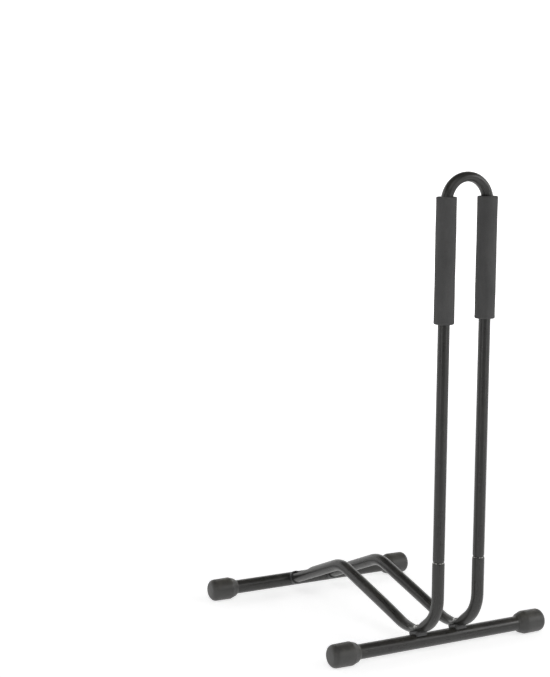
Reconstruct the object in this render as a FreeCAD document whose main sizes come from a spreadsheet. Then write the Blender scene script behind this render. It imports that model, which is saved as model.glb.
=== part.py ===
# Floor rack that holds a bicycle by one wheel. Units mm, +Z up, floor at Z = 0,
# X across the rack, -Y at the hoop, +Y at the rear foot, origin under the middle of the rack.

import FreeCAD
import Part
import Sketcher
import math
import os

Vector = FreeCAD.Vector
Placement = FreeCAD.Placement
Rotation = FreeCAD.Rotation

# Driving dimensions
SIZES = {
    "leg_spacing": 72.2,
    "hoop_tube_r": 8.75,
    "hoop_wall": 1.5,
    "hoop_axis_top": 713.0,
    "mouth_height": 150.4,
    "neck_height": 2.5,
    "neck_step": 0.85,
    "plug_depth": 38.0,
    "plug_clearance": 0.08,
    "plug_taper": 2.0,
    "rail_tube_r": 9.2,
    "rail_wall": 1.5,
    "lip_chamfer": 1.2,
    "foot_tube_r": 11.25,
    "foot_wall": 1.8,
    "foot_axis_height": 17.5,
    "foot_spacing": 381.2,
    "leg_overhang": 45.2,
    "front_bend_r": 55.0,
    "bottom_bend_r": 80.0,
    "crest_bend_r": 60.0,
    "front_slope": 0.335,
    "ramp_slope": 0.266,
    "crest_reach": 224.2,
    "crest_height": 82.4,
    "saddle_crown": 0.8,
    "saddle_width": 19.0,
    "saddle_length": 21.0,
    "saddle_drop": 4.5,
    "saddle_rise": 3.5,
    "collar_wall": 1.8,
    "collar_grip": 4.0,
    "pressed_height": 8.0,
    "press_r": 22.0,
    "fade_r": 260.0,
    "fade_depth": 2.0,
    "fade_reach": 30.0,
    "fade_angle": 15.0,
    "socket_depth": 54.0,
    "crest_solid": 23.0,
    "void_start": 64.0,
    "void_end": 80.0,
    "trough_r": 6.8,
    "trough_rise": 1.3,
    "trough_length": 56.0,
    "trough_tilt": 16.0,
    "lug_height": 5.0,
    "head_pocket_r": 6.3,
    "head_pocket_depth": 7.0,
    "rack_width": 394.4,
    "cap_r": 18.0,
    "cap_length": 54.5,
    "cap_end_wall": 6.0,
    "cap_end_round": 5.5,
    "cap_bevel_share": 0.293,
    "cap_shoulder": 14.0,
    "cap_mouth_r": 12.3,
    "cap_clearance": 0.2,
    "sleeve_r": 15.0,
    "sleeve_clearance": 0.3,
    "sleeve_drop": 208.0,
    "sleeve_length": 180.0,
    "bolt_r": 3.0,
    "bolt_hole_r": 3.2,
    "bolt_head_r": 5.2,
    "bolt_head_height": 3.4,
    "bolt_tip": 0.8,
    "key_r": 2.3,
    "key_depth": 2.0,
    "washer_r": 6.0,
    "washer_height": 1.0,
    "curved_washer_r": 6.4,
    "curved_washer_edge": 0.5,
    "nut_r": 5.77,
    "nut_height": 3.2,
    "nut_bore_r": 3.05,
}

# Positions that follow from the driving dimensions
DERIVED = {
    "half_spacing": "leg_spacing / 2",
    "sleeve_bottom": "hoop_axis_top - sleeve_drop",
    "leg_y": "sleeve_r - (sleeve_r + leg_overhang + foot_spacing + cap_r) / 2",
    "front_foot_y": "leg_y + leg_overhang",
    "rear_foot_y": "front_foot_y + foot_spacing",
    "rail_bore_r": "rail_tube_r - rail_wall",
    "foot_bore_r": "foot_tube_r - foot_wall",
    "nut_seat": "sqrt(foot_bore_r * foot_bore_r - curved_washer_r * curved_washer_r)"
                " - curved_washer_edge",
    "front_secant": "sqrt(1 + front_slope * front_slope)",
    "front_stand": "(foot_tube_r + saddle_crown + rail_tube_r) * front_secant",
    "front_corner_z": "foot_axis_height + front_stand + front_slope * leg_overhang",
    "crest_y": "leg_overhang + crest_reach",
    "bottom_corner_y": "(front_corner_z - crest_height + ramp_slope * crest_y)"
                       " / (ramp_slope + front_slope)",
    "bottom_corner_z": "front_corner_z - front_slope * bottom_corner_y",
    "rear_y": "leg_overhang + foot_spacing",
    "run_slope": "(crest_height - foot_axis_height) / (rear_y - crest_y)",
}

ALONG_X = Rotation(Vector(0, 1, 0), 90)

doc = FreeCAD.newDocument("floor_rack")
sheet = doc.addObject("Spreadsheet::Sheet", "sizes")


def fill_sheet():
    rows = [(alias, str(number)) for alias, number in SIZES.items()]
    rows += [(alias, "=" + formula) for alias, formula in DERIVED.items()]
    for row, (alias, content) in enumerate(rows, start=1):
        sheet.set("A%d" % row, alias)
        sheet.set("B%d" % row, content)
        sheet.setAlias("B%d" % row, alias)
        doc.recompute()


def worded(formula):
    """Put the sheet's name before every alias of a formula."""
    words = formula.replace("(", "( ").replace(")", " )").split()
    return " ".join("sizes." + word if word[0].isalpha() else word for word in words)


def size(formula):
    return float(sheet.evalExpression(worded(formula)))


def bind(feature, **formulas):
    for name, formula in formulas.items():
        feature.setExpression(name, worded(formula))
    return feature


def cylinder(name, radius, height, place):
    solid = bind(doc.addObject("Part::Cylinder", name), Radius=radius, Height=height)
    solid.Placement = place
    return solid


def cone(name, bottom, top, height, place):
    solid = doc.addObject("Part::Cone", name)
    bind(solid, Radius1=bottom, Radius2=top, Height=height)
    solid.Placement = place
    return solid


def half_ring(name, major, minor, place):
    solid = bind(doc.addObject("Part::Torus", name), Radius1=major, Radius2=minor)
    solid.Angle3 = 180
    solid.Placement = place
    return solid


def hexagon(name, radius, height, place):
    solid = doc.addObject("Part::Prism", name)
    solid.Polygon = 6
    bind(solid, Circumradius=radius, Height=height)
    solid.Placement = place
    return solid


def block(name, width, length, height, place):
    """Box centred on X and Y of its placement, standing on its Z."""
    solid = bind(doc.addObject("Part::Box", name), Length=width, Width=length, Height=height)
    corner = Vector(-size(width) / 2, -size(length) / 2, 0)
    solid.Placement = place.multiply(Placement(corner, Rotation()))
    return solid


def fused(name, solids):
    whole = doc.addObject("Part::MultiFuse", name)
    whole.Shapes = solids
    return whole


def cut(name, base, tools):
    """Take the tools from the base, one after the other."""
    whole = base
    for index, tool in enumerate(tools, start=1):
        stage = name if index == len(tools) else "%s_stage_%d" % (name, index)
        rest = doc.addObject("Part::Cut", stage)
        rest.Base = whole
        rest.Tool = tool
        whole = rest
    return whole


def common(name, base, tool):
    shared = doc.addObject("Part::Common", name)
    shared.Base = base
    shared.Tool = tool
    return shared


def at(x, y, z, rotation=None):
    return Placement(Vector(x, y, z), rotation or Rotation())


def lifted(place, distance):
    """The same placement, moved along its own Z."""
    return place.multiply(at(0, 0, distance))


def origin_plane(body, role):
    return next(item for item in body.Origin.OriginFeatures if item.Role == role)


def attached_sketch(body, name, role):
    sketch = body.newObject("Sketcher::SketchObject", name)
    sketch.AttachmentSupport = [(origin_plane(body, role), "")]
    sketch.MapMode = "FlatFace"
    return sketch


def pin(sketch, element, end, across, up, label):
    """Hold one point of a sketch at two formulas, measured from the sketch's origin."""
    for axis, kind, formula in ((-2, "DistanceX", across), (-1, "DistanceY", up)):
        if formula == "0":
            sketch.addConstraint(Sketcher.Constraint("PointOnObject", element, end, axis))
            continue
        held = sketch.addConstraint(
            Sketcher.Constraint(kind, -1, 1, element, end, size(formula)))
        name = label + kind[-1]
        sketch.renameConstraint(held, name)
        sketch.setExpression("Constraints." + name, worded(formula))


def round_corner(before, corner, after, radius):
    """Touching points and middle of the arc that rounds a corner."""
    way_in = (corner - before).normalize()
    way_out = (after - corner).normalize()
    half_turn = way_in.getAngle(way_out) / 2
    touch = radius * math.tan(half_turn)
    inward = (way_out - way_in).normalize()
    middle = corner + inward * (radius / math.cos(half_turn) - radius)
    return corner - way_in * touch, middle, corner + way_out * touch


def draw_path(sketch, corners, closed=False):
    """Straight lines through the corners; a corner with a radius gets a tangent arc.

    Each corner is (across, up, radius), all formulas; the radius is None for a sharp corner.
    """
    points = [Vector(size(across), size(up), 0) for across, up, radius in corners]
    count = len(corners)
    starts = list(points)
    ends = list(points)
    arcs = {}
    for index, (across, up, radius) in enumerate(corners):
        if radius is None:
            continue
        before = points[index - 1]
        after = points[(index + 1) % count]
        first, middle, last = round_corner(before, points[index], after, size(radius))
        ends[index] = first
        starts[index] = last
        arcs[index] = sketch.addGeometry(Part.Arc(first, middle, last), False)
    spans = count if closed else count - 1
    lines = []
    for index in range(spans):
        line = Part.LineSegment(starts[index], ends[(index + 1) % count])
        lines.append(sketch.addGeometry(line, False))
    for index, (across, up, radius) in enumerate(corners):
        label = "corner%d" % index
        line_in = lines[index - 1] if (closed or index > 0) else None
        line_out = lines[index] if index < spans else None
        if radius is None:
            if line_in is not None and line_out is not None:
                sketch.addConstraint(
                    Sketcher.Constraint("Coincident", line_in, 2, line_out, 1))
            if line_out is not None:
                pin(sketch, line_out, 1, across, up, label)
            else:
                pin(sketch, line_in, 2, across, up, label)
            continue
        arc = arcs[index]
        forward = sketch.getPoint(arc, 1).distanceToPoint(ends[index]) < 1e-6
        head, tail = (1, 2) if forward else (2, 1)
        sketch.addConstraint(Sketcher.Constraint("Tangent", line_in, 2, arc, head))
        sketch.addConstraint(Sketcher.Constraint("Tangent", arc, tail, line_out, 1))
        held = sketch.addConstraint(Sketcher.Constraint("Radius", arc, size(radius)))
        sketch.renameConstraint(held, label + "R")
        sketch.setExpression("Constraints." + label + "R", worded(radius))
        mark = sketch.addGeometry(Part.Point(points[index]), True)
        pin(sketch, mark, 1, across, up, label)
        sketch.addConstraint(Sketcher.Constraint("PointOnObject", mark, 1, line_in))
        sketch.addConstraint(Sketcher.Constraint("PointOnObject", mark, 1, line_out))


def bent_bar(name, corners, radius, place):
    """Round bar along straight lines and bends in the YZ plane of its placement.

    Each corner is (y, z, bend radius), all formulas; the two ends have no bend radius.
    """
    points = [Vector(0, size(y), size(z)) for y, z, bend in corners]
    pieces = []
    start = points[0]
    for index, (y, z, bend) in enumerate(corners):
        if index == 0:
            continue
        mark = "%s_%d" % (name, index)
        if bend is None:
            first = last = points[index]
        else:
            first, middle, last = round_corner(points[index - 1], points[index],
                                               points[index + 1], size(bend))
            inward = (middle - points[index]).normalize()
            centre = middle + inward * size(bend)
            to_first = first - centre
            to_last = last - centre
            axis = to_first.cross(to_last).normalize()
            turn = Rotation(to_first, axis.cross(to_first), axis, "ZXY")
            arc = doc.addObject("Part::Torus", mark + "_bend")
            bind(arc, Radius1=bend, Radius2=radius)
            arc.Angle3 = math.degrees(to_first.getAngle(to_last))
            arc.Placement = place.multiply(Placement(centre, turn))
            pieces.append(arc)
        along = Placement(start, Rotation(Vector(0, 0, 1), first - start))
        bar = bind(doc.addObject("Part::Cylinder", mark + "_straight"), Radius=radius)
        bar.Height = (first - start).Length
        bar.Placement = place.multiply(along)
        pieces.append(bar)
        start = last
    return pieces[0] if len(pieces) == 1 else fused(name, pieces)


def turned_body(name, corners, place):
    """Closed profile in the body's XZ plane, turned about the body's X axis."""
    body = doc.addObject("PartDesign::Body", name)
    profile = attached_sketch(body, name + "_profile", "XZ_Plane")
    draw_path(profile, corners, closed=True)
    doc.recompute()
    turned = body.newObject("PartDesign::Revolution", name + "_turned")
    turned.Profile = profile
    turned.ReferenceAxis = (profile, ["H_Axis"])
    turned.Angle = 360
    body.Placement = place
    doc.recompute()
    return body


fill_sheet()

half = size("half_spacing")
leg_y = size("leg_y")
mouth = size("mouth_height")
foot_z = size("foot_axis_height")
SIDES = {"left": -half, "right": half}

# A joint's own frame stands on the foot tube's axis, its Z pointing to the bolt head.
front_turn = Rotation(Vector(1, 0, 0), -math.degrees(math.atan(size("front_slope"))))
rear_turn = Rotation(Vector(1, 0, 0), 90 - math.degrees(math.atan(size("run_slope"))))
front_y = size("front_foot_y")
rear_y = size("rear_foot_y")
FRONT_SEAT = "foot_tube_r + saddle_crown + pressed_height"
REAR_SEAT = "foot_tube_r + saddle_crown + lug_height"
JOINTS = {
    "front": ([at(x, front_y, foot_z, front_turn) for x in SIDES.values()], FRONT_SEAT),
    "rear": ([at(x, rear_y, foot_z, rear_turn) for x in SIDES.values()], REAR_SEAT),
}


def bolt_hole(name, joint, reach):
    """Through hole along the joint's Z, as long each way as the reach."""
    start = lifted(joint, -size(reach))
    return cylinder(name, "bolt_hole_r", "2 * ( " + reach + " )", start)


def foot_surface(name, radius, joint):
    """Round bar along the foot tube, centred on one of its joints."""
    reach = "3 * saddle_length"
    return cylinder(name, radius, reach, joint.multiply(at(-size(reach) / 2, 0, 0, ALONG_X)))


def arch(name, tube_r):
    """Half ring along the axis of the hoop's arch."""
    top = at(0, leg_y, size("hoop_axis_top - half_spacing"), Rotation(Vector(1, 0, 0), 90))
    return half_ring(name, "half_spacing", tube_r, top)


def build_hoop():
    arch_z = "hoop_axis_top - half_spacing"
    shoulder = "mouth_height + neck_height"
    solids = [arch("hoop_arch", "hoop_tube_r")]
    hollows = [arch("hoop_arch_bore", "hoop_tube_r - hoop_wall")]
    plug_r = "rail_bore_r - plug_clearance"
    for side, x in SIDES.items():
        tip = mouth - size("plug_depth")
        taper = size("plug_taper")
        solids += [
            cylinder("hoop_leg_" + side, "hoop_tube_r", arch_z + " - (" + shoulder + ")",
                     at(x, leg_y, size(shoulder))),
            cone("hoop_neck_" + side, "hoop_tube_r - neck_step", "hoop_tube_r", "neck_height",
                 at(x, leg_y, mouth)),
            cylinder("hoop_plug_" + side, plug_r, "plug_depth - plug_taper + neck_height",
                     at(x, leg_y, tip + taper)),
            cone("hoop_tip_" + side, plug_r + " - plug_taper / 2", plug_r, "plug_taper",
                 at(x, leg_y, tip)),
        ]
        hollows += [
            cylinder("hoop_leg_bore_" + side, "hoop_tube_r - hoop_wall",
                     arch_z + " - (" + shoulder + ")", at(x, leg_y, size(shoulder))),
            cylinder("hoop_plug_bore_" + side, plug_r + " - hoop_wall",
                     "plug_depth + neck_height", at(x, leg_y, tip)),
        ]
    return cut("hoop", fused("hoop_outside", solids), hollows)


def build_sleeve(side, x):
    upright = Rotation(Vector(0, 1, 0), -90)
    bore = "hoop_tube_r + sleeve_clearance"
    corners = [
        ("0", bore, None),
        ("0", "sleeve_r", None),
        ("sleeve_length", "sleeve_r", None),
        ("sleeve_length", bore, None),
    ]
    foot = at(x, leg_y, size("sleeve_bottom"), upright)
    straight = turned_body("sleeve_straight_" + side, corners, foot)
    return cut("sleeve_" + side, straight, [arch("sleeve_bend_" + side, bore)])


def build_cap(end, side, direction, y):
    bore = "foot_tube_r + cap_clearance"
    step = "cap_end_round * cap_bevel_share"
    corners = [
        ("0", "0", None),
        ("0", "cap_r - cap_end_round", None),
        (step, "cap_r - " + step, None),
        ("cap_end_round", "cap_r", None),
        ("cap_length - cap_shoulder", "cap_r", None),
        ("cap_length", "cap_mouth_r", None),
        ("cap_length", bore, None),
        ("cap_end_wall", bore, None),
        ("cap_end_wall", "0", None),
    ]
    name = "cap_" + end + "_" + side
    turn = Rotation(Vector(0, 0, 1), 0 if direction < 0 else 180)
    outer = at(direction * size("rack_width") / 2, y, foot_z, turn)
    solid = turned_body(name + "_turned", corners, outer)
    below = block(name + "_floor", "2 * cap_length", "4 * cap_r", "cap_r",
                  at(outer.Base.x, y, -size("cap_r")))
    return cut(name, solid, [below])


def build_foot(end, y, joints):
    length = "rack_width - 2 * cap_end_wall"
    start = at(-size(length) / 2, y, foot_z, ALONG_X)
    tube = cylinder(end + "_foot_outside", "foot_tube_r", length, start)
    tools = [cylinder(end + "_foot_bore", "foot_bore_r", length, start)]
    for index, joint in enumerate(joints):
        tools.append(cylinder("%s_foot_hole_%d" % (end, index), "bolt_hole_r",
                              "2 * foot_tube_r", joint))
    return cut(end + "_foot_tube", tube, tools)


def build_rail(side, x):
    name = "rail_" + side
    place = at(x, leg_y, 0)
    outside = bent_bar(name + "_outside", [
        ("0", "mouth_height - lip_chamfer", None),
        ("0", "front_corner_z", "front_bend_r"),
        ("bottom_corner_y", "bottom_corner_z", "bottom_bend_r"),
        ("crest_y", "crest_height", "crest_bend_r"),
        ("rear_y", "foot_axis_height", None),
    ], "rail_tube_r", place)
    lip = cone(name + "_lip", "rail_tube_r", "rail_tube_r - lip_chamfer", "lip_chamfer",
               at(x, leg_y, mouth - size("lip_chamfer")))
    whole = fused(name + "_whole", [outside, lip])

    # Inside of the tube: the socket, and the straight lengths of the ramp and of the rear run.
    socket = bent_bar(name + "_socket", [
        ("0", "mouth_height + lip_chamfer", None),
        ("0", "mouth_height - socket_depth", None),
    ], "rail_bore_r", place)
    ramp_hollow = bent_bar(name + "_ramp_hollow", [
        ("bottom_corner_y + void_start", "bottom_corner_z + ramp_slope * void_start", None),
        ("crest_y - crest_solid", "crest_height - ramp_slope * crest_solid", None),
    ], "rail_bore_r", place)
    run_hollow = bent_bar(name + "_run_hollow", [
        ("crest_y + crest_solid", "crest_height - run_slope * crest_solid", None),
        ("rear_y - void_end", "foot_axis_height + run_slope * void_end", None),
    ], "rail_bore_r", place)

    front = JOINTS["front"][0][0 if side == "left" else 1]
    rear = JOINTS["rear"][0][0 if side == "left" else 1]
    width = "3 * rail_tube_r"
    across = at(-size(width) / 2, 0, 0, ALONG_X)

    # Top wall pressed down at the front bolt, fading out along the ramp.
    press_up = size(FRONT_SEAT + " + press_r")
    press = cylinder(name + "_press", "press_r", width, lifted(front, press_up).multiply(across))
    seat = cylinder(name + "_front_seat", "washer_r + 1", "rail_tube_r",
                    lifted(front, size(FRONT_SEAT)))

    ramp_turn = Rotation(Vector(1, 0, 0), math.degrees(math.atan(size("ramp_slope"))))
    fade_y = size("leg_y + bottom_corner_y + fade_reach")
    fade_z = size("bottom_corner_z + ramp_slope * fade_reach")
    fade_up = size("rail_tube_r - fade_depth + fade_r")
    fade_place = lifted(at(x, fade_y, fade_z, ramp_turn), fade_up).multiply(across)
    centred = at(0, 0, 0, Rotation(Vector(0, 0, 1), -size("fade_angle") / 2))
    fade = cylinder(name + "_fade", "fade_r", width, fade_place.multiply(centred))
    bind(fade, Angle="fade_angle")

    # Trough in the top of the rear end, its floor rising towards the crest.
    trough_tilt = at(0, 0, 0, Rotation(Vector(1, 0, 0), -size("trough_tilt")))
    trough_start = rear.multiply(at(0, size("trough_rise"), size(REAR_SEAT)))
    trough = cylinder(name + "_trough", "trough_r", "trough_length",
                      trough_start.multiply(trough_tilt))
    opening = block(name + "_opening", "2 * trough_r", "2 * rail_tube_r", "trough_length",
                    trough_start.multiply(trough_tilt).multiply(at(0, size("rail_tube_r"), 0)))
    pocket = cylinder(name + "_pocket", "head_pocket_r", "head_pocket_depth",
                      lifted(rear, size(REAR_SEAT)))
    cope = foot_surface(name + "_cope", "foot_tube_r + saddle_crown", rear)
    beyond = block(name + "_beyond", width, "3 * foot_tube_r", "3 * foot_tube_r",
                   lifted(rear, -size("3 * foot_tube_r")))
    tools = [socket, ramp_hollow, run_hollow, press, seat, fade, trough, opening, pocket, cope, beyond]
    tools.append(bolt_hole(name + "_front_hole", front, "2 * foot_tube_r"))
    tools.append(bolt_hole(name + "_rear_hole", rear, "2 * foot_tube_r"))
    return cut(name, whole, tools)


def build_saddle(side, joint):
    name = "saddle_" + side
    bottom = lifted(joint, size("foot_tube_r - saddle_drop"))
    pad = block(name + "_pad", "saddle_width", "saddle_length",
                "saddle_drop + saddle_crown + saddle_rise", bottom)
    rail_up = size("foot_tube_r + saddle_crown + rail_tube_r")
    along = Rotation(Vector(1, 0, 0), -90)
    reach = "3 * saddle_length"
    rail = cylinder(name + "_rail", "rail_tube_r", reach,
                    lifted(joint, rail_up).multiply(at(0, -size(reach) / 2, 0, along)))
    return cut(name, pad, [foot_surface(name + "_foot", "foot_tube_r", joint), rail,
                           bolt_hole(name + "_hole", joint, "2 * foot_tube_r")])


def build_collar(side, joint):
    """Moulded cup round the rail's rear end, hollowed below to the foot tube."""
    name = "saddle_rear_" + side
    bottom = lifted(joint, size("foot_tube_r - saddle_drop"))
    cup = cylinder(name + "_cup", "rail_tube_r + collar_wall",
                   "saddle_drop + saddle_crown + collar_grip", bottom)
    rail = cylinder(name + "_rail", "rail_tube_r", "3 * foot_tube_r", joint)
    end = cut(name + "_pocket", rail,
              [foot_surface(name + "_crown", "foot_tube_r + saddle_crown", joint)])
    return cut(name, cup, [foot_surface(name + "_foot", "foot_tube_r", joint), end,
                           bolt_hole(name + "_hole", joint, "2 * foot_tube_r")])


def build_fasteners(end, joints, seat):
    """Bolts, washers, curved washers and nuts of one foot tube: two of each."""
    bolts = []
    washers = []
    curved_washers = []
    nuts = []
    tip = "(nut_seat - nut_height - bolt_tip)"
    for index, joint in enumerate(joints):
        mark = "%s_%d" % (end, index)
        seat_place = lifted(joint, size(seat))
        head_place = lifted(joint, size(seat + " + washer_height"))
        shank = cylinder("shank_" + mark, "bolt_r", seat + " + washer_height - " + tip,
                         lifted(joint, size(tip)))
        head = cylinder("head_" + mark, "bolt_head_r", "bolt_head_height", head_place)
        key = hexagon("key_" + mark, "key_r", "key_depth",
                      lifted(head_place, size("bolt_head_height - key_depth")))
        bolts.append(cut("bolt_" + mark, fused("bolt_body_" + mark, [shank, head]), [key]))
        ring = cylinder("washer_disc_" + mark, "washer_r", "washer_height", seat_place)
        washers.append(cut("washer_" + mark, ring,
                           [bolt_hole("washer_hole_" + mark, joint, "3 * foot_tube_r")]))
        disc = cylinder("curved_disc_" + mark, "curved_washer_r", "foot_bore_r",
                        lifted(joint, size("nut_seat")))
        crowned = common("crowned_disc_" + mark, disc,
                         foot_surface("crown_" + mark, "foot_bore_r", joint))
        curved_washers.append(cut("curved_washer_" + mark, crowned,
                                  [bolt_hole("curved_hole_" + mark, joint, "foot_tube_r")]))
        nut_place = lifted(joint, size("nut_seat - nut_height"))
        hexagonal = hexagon("nut_hexagon_" + mark, "nut_r", "nut_height", nut_place)
        nuts.append(cut("nut_" + mark, hexagonal,
                        [cylinder("nut_bore_" + mark, "nut_bore_r", "nut_height", nut_place)]))
    return {
        end + "_bolts": bolts,
        end + "_washers": washers,
        end + "_curved_washers": curved_washers,
        end + "_nuts": nuts,
    }


nodes = {"hoop": [build_hoop()]}
for side, x in SIDES.items():
    nodes["sleeve_" + side] = [build_sleeve(side, x)]
    nodes["rail_" + side] = [build_rail(side, x)]
for side, joint in zip(SIDES, JOINTS["front"][0]):
    nodes["saddle_" + side] = [build_saddle(side, joint)]
for side, joint in zip(SIDES, JOINTS["rear"][0]):
    nodes["saddle_rear_" + side] = [build_collar(side, joint)]
for end, (joints, seat) in JOINTS.items():
    y = front_y if end == "front" else rear_y
    nodes[end + "_foot_tube"] = [build_foot(end, y, joints)]
    for side, direction in (("left", -1), ("right", 1)):
        nodes["cap_" + end + "_" + side] = [build_cap(end, side, direction, y)]
    nodes.update(build_fasteners(end, joints, seat))

doc.recompute()
for item in doc.Objects:
    if "Invalid" in item.State or "Error" in item.State:
        raise RuntimeError("feature failed: " + item.Name)

os.makedirs("parts", exist_ok=True)
for node, features in nodes.items():
    solids = [solid for feature in features for solid in feature.Shape.Solids]
    if len(solids) != len(features):
        raise RuntimeError("%s has %d solids for %d pieces" % (node, len(solids), len(features)))
    shape = solids[0] if len(solids) == 1 else Part.makeCompound(solids)
    if shape.isNull() or not shape.isValid():
        raise RuntimeError("bad shape: " + node)
    features[0].Label = node
    shape.exportStep("parts/" + node + ".step")
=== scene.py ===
"""Looks of the floor rack: tubes, sleeves, caps and fasteners, with the floor, lamps and camera."""
import bpy
import bmesh
import math
from mathutils import Matrix, Vector


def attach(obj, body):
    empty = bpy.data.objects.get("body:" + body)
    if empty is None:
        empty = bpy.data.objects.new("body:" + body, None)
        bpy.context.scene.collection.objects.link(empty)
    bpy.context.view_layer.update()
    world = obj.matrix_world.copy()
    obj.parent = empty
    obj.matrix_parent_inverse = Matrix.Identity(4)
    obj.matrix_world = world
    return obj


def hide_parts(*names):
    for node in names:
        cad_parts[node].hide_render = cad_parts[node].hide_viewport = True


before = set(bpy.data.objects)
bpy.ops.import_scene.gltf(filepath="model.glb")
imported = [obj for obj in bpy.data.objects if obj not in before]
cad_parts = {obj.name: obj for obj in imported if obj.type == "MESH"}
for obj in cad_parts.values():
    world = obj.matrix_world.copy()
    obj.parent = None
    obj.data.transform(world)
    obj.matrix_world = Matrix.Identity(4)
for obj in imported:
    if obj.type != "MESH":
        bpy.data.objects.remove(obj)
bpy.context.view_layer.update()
scene = bpy.context.scene

# Driving sizes in millimetres, in the frame of the solids: X across, Y to the rear, Z up.
MM = 0.001
LEG_SPACING = 72.2
LEG_OVERHANG = 45.2
FOOT_SPACING = 381.2
FRONT_Y = -169.5
HOOP_R = 8.75
HOOP_WALL = 1.5
HOOP_TOP = 713.0
MOUTH_Z = 150.4
NECK_HEIGHT = 2.5
NECK_STEP = 0.85
PLUG_DEPTH = 38.0
PLUG_CLEARANCE = 0.08
PLUG_TAPER = 2.0
RAIL_R = 9.2
RAIL_WALL = 1.5
SOCKET_DEPTH = 54.0
LIP_HEIGHT = 2.8
FRONT_BEND_R = 55.0
BOTTOM_BEND_R = 80.0
CREST_BEND_R = 60.0
FRONT_SLOPE = 0.335
RAMP_SLOPE = 0.266
CREST_REACH = 224.2
CREST_Z = 82.4
PRESSED_HEIGHT = 8.0
PRESS_REACH = 15.0
FADE_REACH = 55.0
FADE_SHARE = 0.45
PRESS_WIDENING = 0.20
DISH_DEPTH = 1.1
TROUGH_R = 6.8
TROUGH_START = 66.0
TROUGH_FADE = 44.0
TROUGH_END = 4.6
FOLD_GAP = 0.3
COPE_LENGTH = 14.0
FOOT_R = 11.25
FOOT_WALL = 1.8
FOOT_Z = 17.5
RACK_WIDTH = 394.4
CAP_R = 18.0
CAP_LENGTH = 54.5
CAP_WALL = 6.0
CAP_ROUND = 8.5
CAP_FACE = 3.6
CAP_SHOULDER = 15.5
SLEEVE_R = 15.0
SLEEVES = {"left": (502.5, 685.0), "right": (507.5, 685.0)}
BOLT_R = 3.0
BOLT_TIP = 0.8
HEAD_R = 5.2
HEAD_HEIGHT = 3.4
KEY_R = 2.3
KEY_DEPTH = 2.0
WASHER_R = 6.0
WASHER_HEIGHT = 1.0
CURVED_WASHER_R = 6.4
CURVED_WASHER_EDGE = 0.5
NUT_HEIGHT = 3.2
SADDLE_CROWN = 0.8
SADDLE_DROP = 4.5
SADDLE_WIDTH = 19.0
SADDLE_LENGTH = 21.0
LUG_HEIGHT = 5.0
COLLAR_WALL = 1.8
COLLAR_GRIP = 4.0

# Sizes and places that follow from them.
LEG_X = LEG_SPACING / 2
LEG_Y = FRONT_Y - LEG_OVERHANG
REAR_Y = FRONT_Y + FOOT_SPACING
CREST_Y = FRONT_Y + CREST_REACH
NECK_R = HOOP_R - NECK_STEP
BORE_R = RAIL_R - RAIL_WALL
PLUG_R = BORE_R - PLUG_CLEARANCE
FOOT_BORE_R = FOOT_R - FOOT_WALL
NUT_SEAT = math.sqrt(FOOT_BORE_R ** 2 - CURVED_WASHER_R ** 2) - CURVED_WASHER_EDGE
SIDES = {"left": -LEG_X, "right": LEG_X}

# Colours of the finishes, linear, with alpha.
COAT_DARK = (0.0125, 0.0122, 0.0114, 1.0)
COAT_PALE = (0.0195, 0.0190, 0.0176, 1.0)
# Painted highlight: pale colour of the lengthwise highlight streaks on the coat.
COAT_PAINTED_SHEEN = (0.034, 0.033, 0.0305, 1.0)
COAT_UPWARD_TINT = (0.225, 0.208, 0.165, 1.0)
# Painted glint: near-white colour put on the lip of each mouth.
LIP_GLINT_PAINT = (0.86, 0.85, 0.82, 1.0)
FOAM_DARK = (0.060, 0.060, 0.0602, 1.0)
FOAM_PALE = (0.074, 0.0737, 0.0731, 1.0)
FOAM_RUBBED = (0.102, 0.1015, 0.0995, 1.0)
# Painted shade: dark colour put in the pits of the foam's pores.
FOAM_PORE_SHADE = (0.030, 0.030, 0.030, 1.0)
FOAM_UPWARD_TINT = (0.20, 0.195, 0.185, 1.0)
RUBBER_DARK = (0.031, 0.0306, 0.0292, 1.0)
RUBBER_PALE = (0.047, 0.0462, 0.0440, 1.0)
RUBBER_SCUFF = (0.085, 0.082, 0.078, 1.0)
RUBBER_UPWARD_TINT = (0.235, 0.22, 0.172, 1.0)
PLASTIC_DARK = (0.030, 0.030, 0.030, 1.0)
PLASTIC_PALE = (0.046, 0.046, 0.046, 1.0)
ZINC_DARK = (0.42, 0.42, 0.41, 1.0)
ZINC_PALE = (0.58, 0.575, 0.56, 1.0)
ZINC_SPOT = (0.20, 0.185, 0.16, 1.0)


# ---------------------------------------------------------------- shader building

def new_group(name, inputs, outputs):
    """Node group with named sockets; gives the group and its two end nodes."""
    tree = bpy.data.node_groups.new(name, "ShaderNodeTree")
    for label, kind, value in inputs:
        socket = tree.interface.new_socket(name=label, in_out="INPUT", socket_type=kind)
        if value is not None:
            socket.default_value = value
    for label, kind in outputs:
        tree.interface.new_socket(name=label, in_out="OUTPUT", socket_type=kind)
    return tree, tree.nodes.new("NodeGroupInput"), tree.nodes.new("NodeGroupOutput")


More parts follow.
